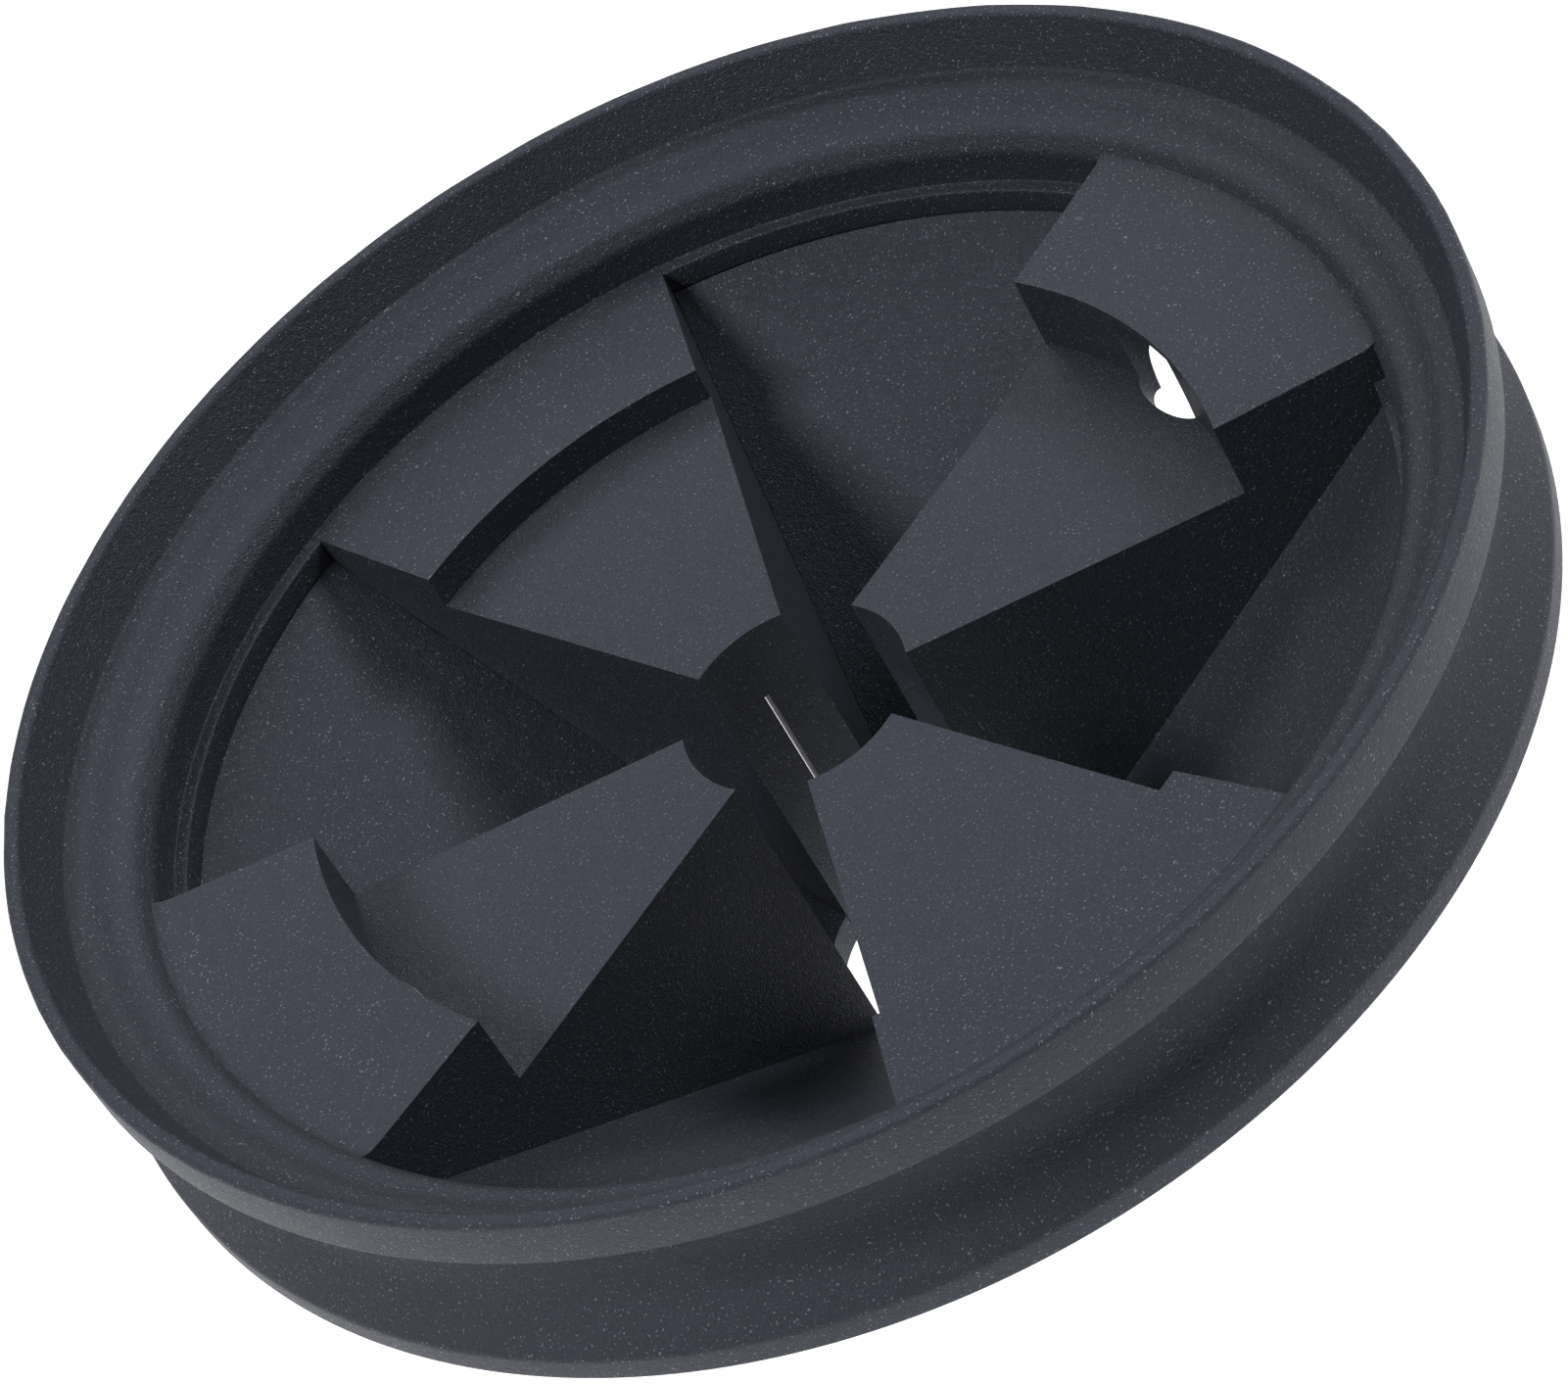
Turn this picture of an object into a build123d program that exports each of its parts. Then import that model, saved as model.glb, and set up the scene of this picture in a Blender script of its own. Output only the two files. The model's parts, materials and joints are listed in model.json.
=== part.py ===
"""A moulded rubber splash baffle: a round grooved collar with eight hinged flaps.

Frame: +Z up along the collar's axis, lip side up. The origin is on that axis, half way
between the bead's flat underside and the lip's top. Lengths are millimetres, angles are
degrees.
"""

from build123d import *

import os
from math import cos, radians, sin, tan

# ---- driving dimensions -------------------------------------------------------------
RIM_R = 43.0             # outside radius of the lip and of the bead below it
COLLAR_H = 13.4          # bead's underside to the lip's top
LIP_Z = COLLAR_H / 2     # the lip's top
BEAD_Z = -COLLAR_H / 2   # the bead's underside
LIP_FACE = 3.2           # height of the lip's outer face
GROOVE_R = 40.2          # floor of the outer groove
BEAD_FACE = 1.6          # height of the bead's outer face
SKIRT_R = 38.6           # inside of the collar, under the ledge
LEDGE_R = 35.8           # inner edge of the ledge that the flaps hang from
STEP_R = 36.6            # foot of the step above the ledge
MEMBRANE_Z = LIP_Z - 5.9   # inner edge of the rolled membrane, and the vented flaps' top
LEDGE_Z = LIP_Z - 8.2      # ledge's top, and the plain flaps' top
HINGE_Z = LIP_Z - 9.8      # underside of the ledge's edge: every flap bends here
SAG = 0.4                # fall of the vented flaps' bands from the membrane to the riser
LEDGE_SAG = 0.9          # fall of the plain flaps' bands from the ledge to the riser
SHELF_Z = LIP_Z - 11.4     # top of the four inner wedges
RISER_R = 27.1           # step from a raised flap's outer band down to its wedge
RISER_WALL = 0.9         # thickness of that step's wall
TIP_R = 6.7              # the flaps stop at this round throat
RUBBER = 1.8             # thickness of the flaps
WALL = 1.5               # thickness of the raised flaps' side and tip walls
FALL_ANGLE = 38.3        # how steeply the low flaps slope down to the throat
RAISED_SPAN = 40.5       # angle between a raised flap's sides
SIDE_OUT = 0.7           # how far each side lies outside the radius it is parallel to
GAP = 0.3                # parting line between neighbours
TIP_SLIT = 0.3           # drain slit in a plain flap's tip wall
SLIT_DEPTH = 4.7         # shelf's top to the slit's upper end
VENT_W = 5.9             # drain vent at a vented flap's riser, along the riser
VENT_DEPTH = 2.5         # the same, across: it cuts the riser and the wedge's edge
VENT_TOP = 0.5           # the vent's upper end, below the band's top
VENT_LEAN = 10.5         # the vent runs down and this much outward

LOW_SPAN = 90.0 - RAISED_SPAN
RAISED_INSET = GAP / 2 - SIDE_OUT
LOW_INSET = GAP / 2 + SIDE_OUT
ROOT_R = LEDGE_R - GAP
FLAP_DROP = RUBBER / cos(radians(FALL_ANGLE))
FALL = tan(radians(FALL_ANGLE))
ROOT_Z = HINGE_Z - GAP / 2
TIP_Z = ROOT_Z - FALL * (ROOT_R - TIP_R)
BELOW = TIP_Z - FLAP_DROP - 1.0   # safely under everything
REACH = RIM_R + 2.0               # safely outside everything

os.makedirs("parts", exist_ok=True)


def finish(piece, name):
    """Name a piece and write it."""
    piece.label = name
    export_step(piece, f"parts/{name}.step")


def sector_outline(span, inset):
    """Corners of a pie slice along +X, each straight side moved in by inset."""
    half = radians(span / 2)
    start = inset / sin(half)
    along = REACH / cos(half)
    return [(start, 0), (start + along, along * tan(half)), (start + along, -along * tan(half))]


# ---- collar: lip, rolled membrane, ledge, skirt, bead and outer groove ----------------
COLLAR_CORNERS = [
    # radius, height, rounding
    (RIM_R, LIP_Z, 0.6),                       # lip, outer top edge
    (RIM_R, LIP_Z - LIP_FACE, 0.3),            # lip, lower edge
    (RIM_R - 0.9, LIP_Z - LIP_FACE - 0.5, 0.4),
    (GROOVE_R, LIP_Z - 5.6, 1.2),              # groove floor, upper end
    (GROOVE_R, BEAD_Z + 4.6, 1.6),                         # groove floor, lower end
    (RIM_R, BEAD_Z + BEAD_FACE, 0.2),                      # bead, upper edge
    (RIM_R, BEAD_Z, 0.2),                            # bead, underside
    (SKIRT_R, BEAD_Z, 0.3),
    (SKIRT_R, HINGE_Z - 0.9, 0.5),                # hollow that the flaps swing into
    (LEDGE_R, HINGE_Z, 0.1),
    (LEDGE_R, LEDGE_Z, 0.3),
    (STEP_R, LEDGE_Z, 0.2),
    (STEP_R, MEMBRANE_Z, 0.5),
    (37.4, LIP_Z - 4.7, 0.8),                  # inner roll
    (38.5, LIP_Z - 4.4, 0.9),                  # shallow valley
    (39.7, LIP_Z - 3.4, 0.8),                  # outer roll
    (40.8, LIP_Z - 3.3, 0.3),                  # crease under the lip
    (42.1, LIP_Z, 0.3),                        # lip, inner top edge
]

with BuildPart() as collar:
    with BuildSketch(Plane.XZ):
        with BuildLine():
            FilletPolyline(
                *[(r, z) for r, z, _ in COLLAR_CORNERS],
                radius=[rounding for _, _, rounding in COLLAR_CORNERS],
                close=True,
            )
        make_face()
    revolve(axis=Axis.Z)
finish(collar.part, "collar")


# ---- low flaps: plain sloping blades -------------------------------------------------
def low_flap(angle):
    """A blade of a shallow cone, between two straight slits."""
    with BuildPart() as blade:
        with BuildSketch(Plane.XZ):
            Polygon(
                (ROOT_R, ROOT_Z),
                (TIP_R, TIP_Z),
                (TIP_R, TIP_Z - FLAP_DROP),
                (ROOT_R, ROOT_Z - FLAP_DROP),
                align=None,
            )
        revolve(axis=Axis.Z)
        with BuildSketch(Plane.XY.offset(BELOW).rotated((0, 0, angle))):
            Polygon(*sector_outline(LOW_SPAN, LOW_INSET), align=None)
        extrude(amount=LIP_Z - BELOW, mode=Mode.INTERSECT)
    return blade.part


# ---- raised flaps: hollow stepped wedges ----------------------------------------------
def raised_flap(angle, band_r, band_z, edge_z):
    """A band, a riser and a wedge in one shell, open below, with side and tip walls.

    The band's top falls from band_z at its root to edge_z at the riser.
    """
    with BuildPart() as hollow:
        with BuildSketch(Plane.XZ):
            Polygon(
                (band_r + 1.0, band_z - RUBBER),
                (RISER_R + RISER_WALL, edge_z - RUBBER),
                (RISER_R + RISER_WALL, SHELF_Z - RUBBER),
                (TIP_R + WALL, SHELF_Z - RUBBER),
                (TIP_R + WALL, BELOW),
                (band_r + 1.0, BELOW),
                align=None,
            )
        revolve(axis=Axis.Z)
        with BuildSketch(Plane.XY.offset(BELOW).rotated((0, 0, angle))):
            Polygon(*sector_outline(RAISED_SPAN, RAISED_INSET + WALL), align=None)
        extrude(amount=LIP_Z - BELOW, mode=Mode.INTERSECT)
    with BuildPart() as shell:
        with BuildSketch(Plane.XZ):
            Polygon(
                (band_r, band_z),
                (RISER_R, edge_z),
                (RISER_R, SHELF_Z),
                (TIP_R, SHELF_Z),
                (TIP_R, TIP_Z - FLAP_DROP),
                (ROOT_R, ROOT_Z - FLAP_DROP),
                (ROOT_R, band_z - RUBBER),
                (band_r, band_z - RUBBER),
                align=None,
            )
        revolve(axis=Axis.Z)
        with BuildSketch(Plane.XY.offset(BELOW).rotated((0, 0, angle))):
            Polygon(*sector_outline(RAISED_SPAN, RAISED_INSET), align=None)
        extrude(amount=LIP_Z - BELOW, mode=Mode.INTERSECT)
        add(hollow.part, mode=Mode.SUBTRACT)
    return shell.part


def vented_flap(angle):
    """A raised flap flush with the membrane, with an upright drain vent cut in the riser."""
    upper = Plane.XY.offset(MEMBRANE_Z - SAG - VENT_TOP).rotated((0, 0, angle))
    outward = sin(radians(VENT_LEAN))
    down = upper.x_dir * outward - upper.z_dir * cos(radians(VENT_LEAN))
    with BuildPart() as flap:
        add(raised_flap(angle, STEP_R - GAP, MEMBRANE_Z, MEMBRANE_Z - SAG))
        with BuildSketch(upper):
            with Locations((RISER_R - 0.6, 0)):
                Ellipse(VENT_DEPTH / 2, VENT_W / 2)
        extrude(amount=COLLAR_H, dir=down, mode=Mode.SUBTRACT)
    return flap.part


def plain_flap(angle):
    """A raised flap flush with the ledge, with a drain slit down its tip wall."""
    with BuildPart() as flap:
        add(raised_flap(angle, ROOT_R, LEDGE_Z, LEDGE_Z - LEDGE_SAG))
        with BuildSketch(Plane.XY.offset(BELOW).rotated((0, 0, angle))):
            Polygon(
                (TIP_R - 1.0, TIP_SLIT / 2),
                (TIP_R + WALL + 1.0, TIP_SLIT / 2),
                (TIP_R + WALL + 1.0, -TIP_SLIT / 2),
                (TIP_R - 1.0, -TIP_SLIT / 2),
                align=None,
            )
        extrude(amount=SHELF_Z - SLIT_DEPTH - BELOW, mode=Mode.SUBTRACT)
    return flap.part


for count, angle in enumerate((45, 135, 225, 315), start=1):
    finish(low_flap(angle), f"low_flap_{count}")

for count, angle in enumerate((0, 180), start=1):
    finish(vented_flap(angle), f"vented_flap_{count}")

for count, angle in enumerate((90, 270), start=1):
    finish(plain_flap(angle), f"plain_flap_{count}")
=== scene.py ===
# %% [markdown]
# # A rubber splash baffle
# The real object is one moulding of soft black rubber that sits in the mouth of a sink's
# waste disposer. A grooved collar snaps into the flange, and eight flaps hang from a thin
# ledge inside it: four plain blades that slope down, and four hollow stepped wedges between
# them. The CAD frame already holds the sizes and the hinges, so this lesson loads it first
# and takes its measures from it. Everything is in metres.

# %% Load the frame
import json
import math

import bmesh
import bpy
from mathutils import Matrix, Vector, noise


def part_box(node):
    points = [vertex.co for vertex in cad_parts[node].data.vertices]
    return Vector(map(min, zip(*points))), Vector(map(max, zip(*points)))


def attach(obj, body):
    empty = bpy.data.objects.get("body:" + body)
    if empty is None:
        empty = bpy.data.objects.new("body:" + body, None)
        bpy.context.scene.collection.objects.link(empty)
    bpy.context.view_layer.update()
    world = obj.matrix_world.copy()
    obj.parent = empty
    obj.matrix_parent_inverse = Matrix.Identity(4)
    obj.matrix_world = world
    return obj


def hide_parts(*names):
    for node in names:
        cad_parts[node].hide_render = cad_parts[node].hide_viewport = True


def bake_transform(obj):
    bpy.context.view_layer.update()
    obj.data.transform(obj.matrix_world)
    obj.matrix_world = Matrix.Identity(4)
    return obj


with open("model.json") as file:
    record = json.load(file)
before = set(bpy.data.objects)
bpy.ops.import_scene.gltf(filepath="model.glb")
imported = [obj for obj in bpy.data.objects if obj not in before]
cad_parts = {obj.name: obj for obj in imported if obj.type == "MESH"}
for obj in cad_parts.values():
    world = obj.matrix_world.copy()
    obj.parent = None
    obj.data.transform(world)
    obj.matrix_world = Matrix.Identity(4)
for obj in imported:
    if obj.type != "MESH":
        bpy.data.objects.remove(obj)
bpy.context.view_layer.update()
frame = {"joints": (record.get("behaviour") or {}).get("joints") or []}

# %% [markdown]
# ## The measures that everything shares
# A few rings and levels describe the whole baffle. The outer ones are read from the frame's
# boxes and from a hinge, so they can't drift from the CAD model. The small ones, such as
# the rubber's thickness, are written in millimetres and turned into metres.

# %% Rings and levels
MM = 0.001
RIM_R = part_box("collar")[1].x               # lip and bead
LIP_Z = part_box("collar")[1].z
BEAD_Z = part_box("collar")[0].z
MEMBRANE_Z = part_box("vented_flap_1")[1].z   # top of the vented flaps' bands
LEDGE_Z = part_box("plain_flap_1")[1].z       # top of the ledge and the plain flaps' bands
FOOT_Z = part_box("low_flap_1")[0].z          # the lowest points, at the throat
first_hinge = Vector(frame["joints"][0]["pos_m"])
LEDGE_R = first_hinge.to_2d().length        # inner edge of the ledge
HINGE_Z = first_hinge.z

STEP_R = LEDGE_R + 0.8 * MM
SKIRT_R = LEDGE_R + 2.8 * MM
GROOVE_R = RIM_R - 2.8 * MM
SHELF_Z = LIP_Z - 11.4 * MM                 # top of the inner wedges
RISER_R = 27.1 * MM
RISER_WALL = 0.9 * MM
TIP_R = 6.7 * MM
RUBBER = 1.8 * MM                           # thickness of tops and blades
WALL = 1.5 * MM                             # thickness of the side and tip walls
EDGE = 0.3 * MM                             # rounding of the moulded edges
RAISED_HALF = math.radians(20.25)           # a raised flap's sides, from its middle line
LOW_HALF = math.radians(45) - RAISED_HALF
SIDE_OUT = 0.7 * MM                         # the sides lie this far outside a true radius
SLIT = 0.02 * MM                            # half of the slit between two flaps
UNDER_LEDGE = 0.1 * MM                      # how far the low flaps' roots lie below the hinge
FOOT_CLEARANCE = 0.1 * MM                   # keeps the tips inside the CAD box
SAG = 0.4 * MM                              # fall of a vented flap's band to its riser
LEDGE_SAG = 0.9 * MM                        # the same, for a plain flap
FALL = math.tan(math.radians(38.3))         # slope of the low flaps
DROP = RUBBER / math.cos(math.atan(FALL))   # the blades' thickness, measured straight down
print("rim radius, mm:", round(RIM_R / MM, 2), "hinge ring, mm:", round(LEDGE_R / MM, 2))

# %% [markdown]
# ## Shader maths as plain Python
# A material is a graph, but most of it is arithmetic. This small class wraps a socket, so
# that an expression such as `1 - grain * 0.5` adds its own Math nodes, and one method makes
# any other node from its type, its settings and its inputs.

# %% A small node language
class Value:
    """A socket that can be used in Python arithmetic."""

    def __init__(self, tree, socket):
        self.tree = tree
        self.socket = socket

    def maths(self, operation, other, swapped=False):
        values = (other, self) if swapped else (self, other)
        return self.tree.node("ShaderNodeMath", {"operation": operation}, dict(enumerate(values)))

    def __add__(self, other):
        return self.maths("ADD", other)

    def __rsub__(self, other):
        return self.maths("SUBTRACT", other, swapped=True)

    def __mul__(self, other):
        return self.maths("MULTIPLY", other)


class Finish:
    """A new material and its node tree."""

    def __init__(self, name):
        self.material = bpy.data.materials.new(name)
        self.material.use_nodes = True
        self.nodes = self.material.node_tree.nodes
        self.links = self.material.node_tree.links
        self.nodes.clear()

    def node(self, kind, settings, inputs, output=0):
        """Make a node, set it up, feed its sockets and return one output."""
        made = self.nodes.new(kind)
        for name, value in settings.items():
            setattr(made, name, value)
        for name, value in inputs.items():
            if isinstance(value, Value):
                self.links.new(value.socket, made.inputs[name])
            else:
                made.inputs[name].default_value = value
        return Value(self, made.outputs[output]) if made.outputs else None

    def mix(self, factor, low, high):
        """A colour between low and high."""
        return self.node(
            "ShaderNodeMix", {"data_type": "RGBA"}, {0: factor, 6: low, 7: high}, output=2
        )

    def ramp(self, value, start, stop):
        """0 below start, 1 above stop."""
        return self.node(
            "ShaderNodeMapRange",
            {"interpolation_type": "SMOOTHSTEP"},
            {"Value": value, "From Min": start, "From Max": stop},
        )


# %% [markdown]
# ## The rubber
# Black rubber is never plain black. It is a very dark blue-grey, it scatters light softly,
# and its skin carries the fine grain of a spark-eroded mould. Sparse pale specks are a
# painted highlight. They are painted into its colour where a grain would catch the light,
# and a thin bloom dulls the skin in soft patches. So there are four noises: fine and coarse
# grain for the bump, sparse painted glint specks, and slow patches of bloom. A glint speck
# is smoother than the skin round it and the bloom is rougher. The strength of the sheen and
# its cold tint are the same all over, so they are set on the shader's own sockets.

# %% Black rubber
SKIN_DARK = (0.022, 0.024, 0.031, 1)
SKIN_BLOOM = (0.027, 0.029, 0.038, 1)
SKIN_GRAIN = (0.036, 0.039, 0.050, 1)
# A painted highlight: the pale colour painted into the specks where a grain would catch the
# light.
PAINTED_GLINT = (0.17, 0.175, 0.20, 1)
COLD_SHEEN = (0.72, 0.79, 1.0, 1)
GRAIN_DEPTH = 0.16 * MM


def black_rubber():
    finish = Finish("black_rubber")
    place = finish.node("ShaderNodeTexCoord", {}, {}, output="Object")

    def grain(scale, detail, roughness=0.5):
        return finish.node(
            "ShaderNodeTexNoise",
            {},
            {"Vector": place, "Scale": scale, "Detail": detail, "Roughness": roughness},
        )

    fine = grain(9000, 2, 0.6)
    coarse = grain(2600, 3, 0.55)
    patches = finish.ramp(grain(60, 3, 0.6), 0.35, 0.7)
    # Where the painted highlight goes: sparse specks, which are also made a little smoother.
    painted_glint_specks = finish.ramp(grain(7000, 0), 0.71, 0.80)
    skin = finish.mix(patches, SKIN_DARK, SKIN_BLOOM)
    skin = finish.mix(finish.ramp(fine, 0.35, 0.68), skin, SKIN_GRAIN)
    # Paints the highlight specks into the base colour, a painted highlight on top of the skin's
    # own tone.
    colour = finish.mix(painted_glint_specks, skin, PAINTED_GLINT)
    height = fine * 0.55 + coarse * 0.45
    normal = finish.node(
        "ShaderNodeBump", {}, {"Strength": 1.0, "Distance": GRAIN_DEPTH, "Height": height}
    )
    surface = finish.node(
        "ShaderNodeBsdfPrincipled",
        {},
        {
            "Base Color": colour,
            "Roughness": 0.46 - painted_glint_specks * 0.15 + patches * 0.05,
            "Normal": normal,
            "Specular IOR Level": 0.45,
            "Specular Tint": COLD_SHEEN,
        },
    )
    finish.node("ShaderNodeOutputMaterial", {}, {"Surface": surface})
    return finish.material


rubber = black_rubber()
print("material:", rubber.name, "with", len(rubber.node_tree.nodes), "nodes")


# %% [markdown]
# ## From a mesh to a piece
# Every piece ends the same way: its normals are made to point outwards, its faces are
# smoothed, and it takes the rubber. The bevel comes as a modifier, applied here, so that
# its hardened normals keep the flat faces flat.

# %% Finishing helper
def finished(mesh_maker, name, modifiers=()):
    """Turn a bmesh into a piece with its modifiers applied."""
    mesh = bpy.data.meshes.new(name)
    bmesh.ops.recalc_face_normals(mesh_maker, faces=mesh_maker.faces)
    mesh_maker.to_mesh(mesh)
    mesh_maker.free()
    mesh.shade_smooth()
    piece = bpy.data.objects.new(name, mesh)
    bpy.context.collection.objects.link(piece)
    for kind, settings in modifiers:
        modifier = piece.modifiers.new(kind.title(), kind)
        for key, value in settings.items():
            setattr(modifier, key, value)
    if modifiers:
        graph = bpy.context.evaluated_depsgraph_get()
        piece.data = bpy.data.meshes.new_from_object(piece.evaluated_get(graph))
        piece.data.name = name
        piece.modifiers.clear()
    piece.data.materials.clear()
    piece.data.materials.append(rubber)
    print(name, len(piece.data.vertices), "points")
    return piece


ROUNDED = (
    "BEVEL",
    {"width": EDGE, "segments": 3, "limit_method": "ANGLE", "angle_limit": math.radians(35),
     "harden_normals": True},
)

# %% [markdown]
# ## The collar
# The collar is a solid of revolution, so it is one outline spun round the axis. Each corner
# of the outline has its own roundness: the lip is soft, the foot of the step is tight. The
# corners are rounded by bevelling points while the outline is still a single loop of edges,
# which is far easier than rounding a finished ring.

# %% The collar's outline
COLLAR_CORNERS = [
    # radius, height, rounding, all in millimetres, heights from the lip's top
    (RIM_R / MM, 0.0, 0.6),
    (RIM_R / MM, -3.2, 0.35),
    (RIM_R / MM - 0.9, -3.7, 0.5),
    (GROOVE_R / MM, -5.6, 1.3),
    (GROOVE_R / MM, -8.8, 1.8),
    (RIM_R / MM, -11.8, 0.3),
    (RIM_R / MM, -13.4, 0.35),
    (SKIRT_R / MM, -13.4, 0.4),
    (SKIRT_R / MM, -10.7, 0.8),
    (LEDGE_R / MM, -9.8, 0.12),
    (LEDGE_R / MM, -8.2, 0.25),
    (STEP_R / MM, -8.2, 0.2),
    (STEP_R / MM, -5.9, 0.5),
    (37.4, -4.7, 0.8),
    (38.5, -4.4, 0.9),
    (39.7, -3.4, 0.8),
    (40.8, -3.3, 0.4),
    (42.1, 0.0, 0.5),
]
RING_STEPS = 288
ROUNDING_REACH = 0.6        # how far a rounding starts from its corner, as a part of it
MERGE = 0.002 * MM          # points nearer than this become one
LIP_DEPTH = 1.2 * MM        # the wander fades out this far below the lip's top
SLOW_WANDER = 0.10 * MM
FINE_WANDER = 0.05 * MM


def collar_ring():
    """Round the outline's corners, spin it, and let the lip's edge wander a little."""
    ring = bmesh.new()
    corners = [ring.verts.new((r * MM, 0, LIP_Z + z * MM)) for r, z, _ in COLLAR_CORNERS]
    for corner, following in zip(corners, corners[1:] + corners[:1]):
        ring.edges.new((corner, following))
    for corner, (_, _, rounding) in zip(corners, COLLAR_CORNERS):
        bmesh.ops.bevel(
            ring, geom=[corner], offset=rounding * MM * ROUNDING_REACH, segments=5, profile=0.5,
            affect="VERTICES", material=-1,
        )
    bmesh.ops.spin(
        ring, geom=ring.verts[:] + ring.edges[:], cent=(0, 0, 0), axis=(0, 0, 1),
        angle=math.tau, steps=RING_STEPS, use_merge=True, use_normal_flip=False,
        use_duplicate=False, dvec=(0, 0, 0),
    )
    bmesh.ops.remove_doubles(ring, verts=ring.verts, dist=MERGE)
    for point in ring.verts:
        near_lip = max(0.0, 1 - (LIP_Z - point.co.z) / LIP_DEPTH)
        slow = SLOW_WANDER * abs(noise.noise(point.co * 170))
        fine = FINE_WANDER * abs(noise.noise(point.co * 620))
        wander = (slow + fine) * near_lip
        outward = point.co.to_2d().normalized()
        point.co.x -= outward.x * wander
        point.co.y -= outward.y * wander
    return ring


collar = finished(collar_ring(), "rubber_collar")
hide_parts("collar")
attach(collar, "collar")

# %% [markdown]
# ## How a flap bends
# A rubber flap has no hinge pin. It bends along a straight line between the ends of its two
# slits, and everything outside that line stays with the collar. So each flap is one mesh,
# which reaches from under the collar past that line to its own tip. The mesh is given cross
# cuts a few millimetres inside the line, since without them it couldn't curve there.

# %% Slicing and turning a flap
SLIT_ENDS = math.radians(24)                # about where the slits end, from a flap's middle
BEND_START = LEDGE_R * math.cos(SLIT_ENDS)
BEND_LENGTH = 4.0 * MM
BEND_END = BEND_START - BEND_LENGTH
BEND_CUTS = 7
CUT_TOLERANCE = 1e-7
TRIM_ALLOWANCE = math.radians(24)           # spun beyond both sides, then trimmed away


def whole(mesh_maker):
    """Everything in a bmesh, as the operators want it."""
    return mesh_maker.verts[:] + mesh_maker.edges[:] + mesh_maker.faces[:]


def cut_bend(flap):
    """Add straight cross cuts where the rubber curves."""
    for cut in range(BEND_CUTS + 1):
        x = BEND_START + (BEND_END - BEND_START) * cut / BEND_CUTS
        bmesh.ops.bisect_plane(
            flap, geom=whole(flap), dist=CUT_TOLERANCE, plane_co=(x, 0, 0), plane_no=(1, 0, 0)
        )


def sector(outline, half_angle, inset, steps):
    """A closed solid about +X: an outline of (radius, height) spun, then trimmed straight.

    Each side is parallel to a radius at half_angle and moved in by inset.
    """
    spin_angle = 2 * half_angle + TRIM_ALLOWANCE
    solid = bmesh.new()
    corners = [solid.verts.new((r, 0, z)) for r, z in outline]
    face = solid.faces.new(corners)
    bmesh.ops.rotate(solid, verts=corners, matrix=Matrix.Rotation(-spin_angle / 2, 3, "Z"))
    bmesh.ops.spin(
        solid, geom=[face, *face.edges, *face.verts], cent=(0, 0, 0), axis=(0, 0, 1),
        angle=spin_angle, steps=steps, use_merge=False, use_normal_flip=False,
        use_duplicate=False, dvec=(0, 0, 0),
    )
    for side in (1, -1):
        outward = Vector((-math.sin(half_angle), side * math.cos(half_angle), 0))
        bmesh.ops.bisect_plane(
            solid, geom=whole(solid), dist=CUT_TOLERANCE, plane_co=-inset * outward,
            plane_no=outward, clear_outer=True,
        )
        rim = [edge for edge in solid.edges if edge.is_boundary]
        bmesh.ops.contextual_create(solid, geom=rim)
    bmesh.ops.recalc_face_normals(solid, faces=solid.faces)
    return solid


def hang(piece, node, angle):
    """Turn a flap from +X to its own place, hide its CAD part and bake the turn into the mesh."""
    turn = Matrix.Rotation(angle, 4, "Z")
    piece.data.transform(turn)
    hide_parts(node)
    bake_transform(piece)


# %% [markdown]
# ## The low flaps
# A low flap is a blade cut from a shallow cone. Its root runs on under the ledge, so no gap
# shows where the two meet.

# %% Low flaps
LOW_STEPS = 36
ROOT_OVERLAP = 1.0 * MM     # the root runs on this far under the ledge


def foot_z(radius):
    """Height of the low flaps' upper surface at a radius."""
    return HINGE_Z - UNDER_LEDGE - FALL * (LEDGE_R - radius)


def low_flap():
    root = LEDGE_R + ROOT_OVERLAP
    outline = [
        (root, HINGE_Z - UNDER_LEDGE),
        (LEDGE_R, HINGE_Z - UNDER_LEDGE),
        (TIP_R, foot_z(TIP_R)),
        (TIP_R, FOOT_Z + FOOT_CLEARANCE),
        (root, foot_z(root) - DROP),
    ]
    blade = sector(outline, LOW_HALF, SLIT + SIDE_OUT, LOW_STEPS)
    cut_bend(blade)
    return blade


for count, angle in enumerate((45, 135, 225, 315), start=1):
    piece = finished(low_flap(), f"sloping_blade_{count}", [ROUNDED])
    hang(piece, f"low_flap_{count}", math.radians(angle))

# %% [markdown]
# ## The raised flaps
# A raised flap is a hollow box, open below: band, riser and shelf on top, and walls at the
# sides and at the tip. It could be a sheet given one thickness, but the riser is thinner
# than the rest. So the outer shape and the hollow are both made as solids, and the hollow
# is subtracted. The vents and the slits are subtracted in the same way.

# %% Tools for subtracting
VENT_W = 5.9 * MM           # along the riser
VENT_DEPTH = 2.5 * MM       # across it
VENT_TOP = 0.5 * MM         # the vent's upper end, below the band's edge
VENT_INWARD = 0.6 * MM      # its middle lies this far inside the riser
VENT_LEAN = math.radians(10.5)
VENT_REACH = 13.4 * MM      # long enough to pass through the wedge
TIP_SLIT = 0.3 * MM
SLIT_DEPTH = 4.7 * MM       # the shelf's top to the slit's upper end
SLIT_REACH = 6 * MM         # long enough to pass through the tip wall
BELOW_FEET = 2 * MM         # how far the tools run on below the tips


def tool(name, maker):
    """A shape that a Boolean takes away."""
    mesh = bpy.data.meshes.new(name)
    bmesh.ops.recalc_face_normals(maker, faces=maker.faces)
    maker.to_mesh(mesh)
    maker.free()
    shape = bpy.data.objects.new(name, mesh)
    bpy.context.collection.objects.link(shape)
    return shape


def without(shape):
    """The modifier that takes a tool away from a piece."""
    return ("BOOLEAN", {"object": shape, "operation": "DIFFERENCE", "solver": "EXACT"})


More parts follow.
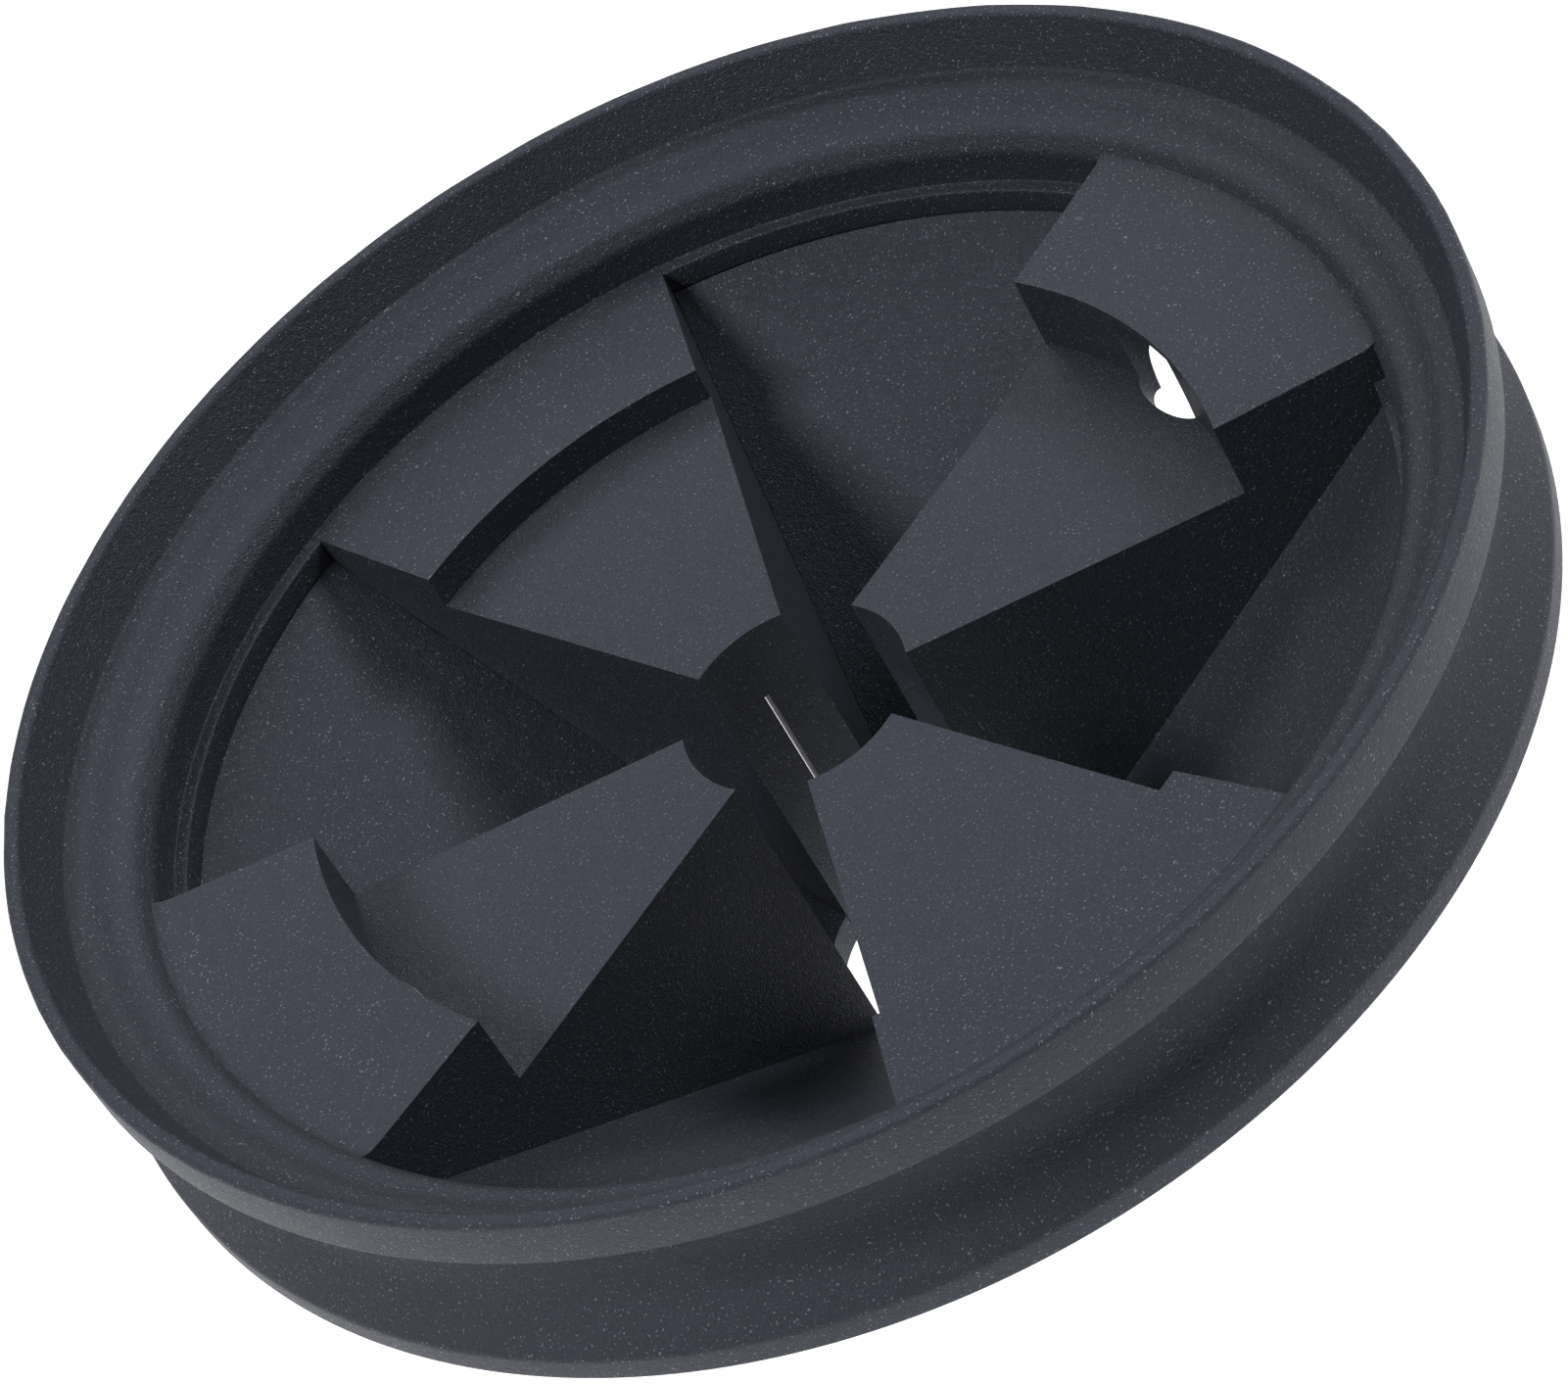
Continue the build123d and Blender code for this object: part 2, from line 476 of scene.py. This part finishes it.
def vent_tool(band_edge_z):
    """An oval bar that runs down, and a little outward, through riser and wedge."""
    bar = bmesh.new()
    top = band_edge_z - VENT_TOP
    bmesh.ops.create_circle(
        bar, cap_ends=True, segments=48, radius=1.0,
        matrix=Matrix.Translation((RISER_R - VENT_INWARD, 0, top))
        @ Matrix.Diagonal((VENT_DEPTH / 2, VENT_W / 2, 1, 1)),
    )
    grown = bmesh.ops.extrude_face_region(bar, geom=bar.faces[:])["geom"]
    down = Vector((math.sin(VENT_LEAN), 0, -math.cos(VENT_LEAN))) * VENT_REACH
    lower_end = [item for item in grown if isinstance(item, bmesh.types.BMVert)]
    bmesh.ops.translate(bar, verts=lower_end, vec=down)
    return tool("vent_tool", bar)


def slit_tool():
    """A thin plate that parts the lower middle of a tip wall."""
    plate = bmesh.new()
    top = SHELF_Z - SLIT_DEPTH
    bmesh.ops.create_cube(
        plate, size=1.0,
        matrix=Matrix.Translation((TIP_R, 0, (top + FOOT_Z - BELOW_FEET) / 2))
        @ Matrix.Diagonal((SLIT_REACH, TIP_SLIT, top - FOOT_Z + BELOW_FEET, 1)),
    )
    return tool("slit_tool", plate)


# %% Raised flaps
RAISED_STEPS = 34
SHELL_MERGE = 0.001 * MM    # points nearer than this become one after the subtractions
PAST_ROOT = 1 * MM          # the hollow runs on past the root, so it cuts cleanly


def raised_shape(root_profile, edge_z):
    """The outside of a raised flap; root_profile runs from the collar to the band."""
    root_r = root_profile[0][0]
    outline = [
        *root_profile,
        (RISER_R, edge_z),
        (RISER_R, SHELF_Z),
        (TIP_R, SHELF_Z),
        (TIP_R, FOOT_Z + FOOT_CLEARANCE),
        (root_r, foot_z(root_r) - DROP),
    ]
    return sector(outline, RAISED_HALF, SLIT - SIDE_OUT, RAISED_STEPS)


def hollow_shape(root_profile, edge_z):
    """The room under a raised flap."""
    beyond = root_profile[0][0] + PAST_ROOT
    outline = [
        (beyond, root_profile[-1][1] - RUBBER),
        (RISER_R + RISER_WALL, edge_z - RUBBER),
        (RISER_R + RISER_WALL, SHELF_Z - RUBBER),
        (TIP_R + WALL, SHELF_Z - RUBBER),
        (TIP_R + WALL, FOOT_Z - BELOW_FEET),
        (beyond, FOOT_Z - BELOW_FEET),
    ]
    return sector(outline, RAISED_HALF, SLIT - SIDE_OUT + WALL, RAISED_STEPS)


def raised_piece(node, angle, root_profile, edge_z, opening):
    """Build, hollow, cut, slice, round and hang one raised flap."""
    name = node.replace("vented_flap", "vented_wedge").replace("plain_flap", "plain_wedge")
    hollow = tool("hollow", hollow_shape(root_profile, edge_z))
    box = finished(raised_shape(root_profile, edge_z), "box", [without(hollow), without(opening)])
    shell = bmesh.new()
    shell.from_mesh(box.data)
    bmesh.ops.remove_doubles(shell, verts=shell.verts, dist=SHELL_MERGE)
    cut_bend(shell)
    for used in (hollow, opening, box):
        bpy.data.objects.remove(used)
    piece = finished(shell, name, [ROUNDED])
    hang(piece, node, math.radians(angle))


FLUSH_WITH_MEMBRANE = [
    (STEP_R + 0.7 * MM, MEMBRANE_Z + 0.95 * MM),
    (STEP_R + 0.25 * MM, MEMBRANE_Z + 0.35 * MM),
    (STEP_R - 0.3 * MM, MEMBRANE_Z + 0.08 * MM),
    (STEP_R - 1.0 * MM, MEMBRANE_Z),
]
FLUSH_WITH_LEDGE = [
    (STEP_R + 0.2 * MM, LEDGE_Z + 0.02 * MM),
    (LEDGE_R - 0.5 * MM, LEDGE_Z + 0.02 * MM),
]

for node, angle in (("vented_flap_1", 0), ("vented_flap_2", 180)):
    band_edge_z = MEMBRANE_Z - SAG
    raised_piece(node, angle, FLUSH_WITH_MEMBRANE, band_edge_z, vent_tool(band_edge_z))
for node, angle in (("plain_flap_1", 90), ("plain_flap_2", 270)):
    raised_piece(node, angle, FLUSH_WITH_LEDGE, LEDGE_Z - LEDGE_SAG, slit_tool())

# %% [markdown]
# ## The floor, the light and the camera
# A pale floor far enough below throws light back up on to the collar's outside, as a white
# table does. A large soft box behind the baffle lays the sheen on its level tops, one at
# each side lights the sloping blades, and a weak one fills from the front. The camera
# stands well back with a long lens, rolled to one side.

# %% Floor
FLOOR_Z = FOOT_Z - 60 * MM
FLOOR_HALF = 3.0            # metres


def pale_floor():
    sheet = bmesh.new()
    bmesh.ops.create_grid(
        sheet, x_segments=1, y_segments=1, size=FLOOR_HALF,
        matrix=Matrix.Translation((0, 0, FLOOR_Z)),
    )
    mesh = bpy.data.meshes.new("floor")
    sheet.to_mesh(mesh)
    sheet.free()
    floor = bpy.data.objects.new("floor", mesh)
    bpy.context.collection.objects.link(floor)
    finish = Finish("pale_floor")
    surface = finish.node(
        "ShaderNodeBsdfPrincipled", {},
        {
            "Base Color": (0.93, 0.93, 0.93, 1), "Roughness": 0.9,
            "Emission Color": (1, 1, 1, 1), "Emission Strength": 0.36,
        },
    )
    finish.node("ShaderNodeOutputMaterial", {}, {"Surface": surface})
    mesh.materials.append(finish.material)


pale_floor()
print("floor at, mm:", round(FLOOR_Z / MM, 1))


# %% Lights
LIGHT_DISTANCE = 1.2        # metres


def soft_box(name, azimuth, elevation, size, power):
    """An area light that faces the origin. Azimuth 0 is in front, 90 to the right."""
    a, e = math.radians(azimuth), math.radians(elevation)
    away = Vector((math.sin(a) * math.cos(e), -math.cos(a) * math.cos(e), math.sin(e)))
    data = bpy.data.lights.new(name, "AREA")
    data.shape = "DISK"
    data.size = size
    data.energy = power
    light = bpy.data.objects.new(name, data)
    light.location = away * LIGHT_DISTANCE
    light.rotation_euler = away.to_track_quat("Z", "Y").to_euler()
    bpy.context.collection.objects.link(light)


soft_box("back_box", azimuth=170, elevation=42, size=0.7, power=4.6)
soft_box("right_box", azimuth=92, elevation=40, size=0.5, power=8.0)
soft_box("left_box", azimuth=274, elevation=52, size=0.5, power=9.5)
soft_box("front_box", azimuth=35, elevation=50, size=0.5, power=1.5)
world = bpy.data.worlds.new("studio")
world.use_nodes = True
world.node_tree.nodes["Background"].inputs["Color"].default_value = (0.9, 0.95, 1.0, 1)
world.node_tree.nodes["Background"].inputs["Strength"].default_value = 0.04
bpy.context.scene.world = world
bpy.context.scene.view_settings.view_transform = "Standard"
print("soft boxes:", len(bpy.data.lights))

# %% Camera
CAMERA_AZIMUTH = math.radians(-10.8)   # 0 looks along +Y
CAMERA_ELEVATION = math.radians(41.3)
CAMERA_ROLL = math.radians(31.5)
CAMERA_DISTANCE = 0.261
CAMERA_LENS = 112.4
CAMERA_TARGET = Vector((-1.4, -5.6, 1.0)) * MM

camera = bpy.data.objects.new("camera", bpy.data.cameras.new("camera"))
camera.data.lens = CAMERA_LENS
camera.data.sensor_width = 36
camera.data.clip_start = 0.01
back = Vector((
    math.sin(CAMERA_AZIMUTH) * math.cos(CAMERA_ELEVATION),
    -math.cos(CAMERA_AZIMUTH) * math.cos(CAMERA_ELEVATION),
    math.sin(CAMERA_ELEVATION),
))
upright = back.to_track_quat("Z", "Y").to_matrix()
rolled = upright @ Matrix.Rotation(-CAMERA_ROLL, 3, "Z")
camera.matrix_world = Matrix.Translation(CAMERA_TARGET + back * CAMERA_DISTANCE) @ rolled.to_4x4()
bpy.context.collection.objects.link(camera)
bpy.context.scene.camera = camera
print("camera at, mm:", [round(v / MM, 1) for v in camera.matrix_world.translation])
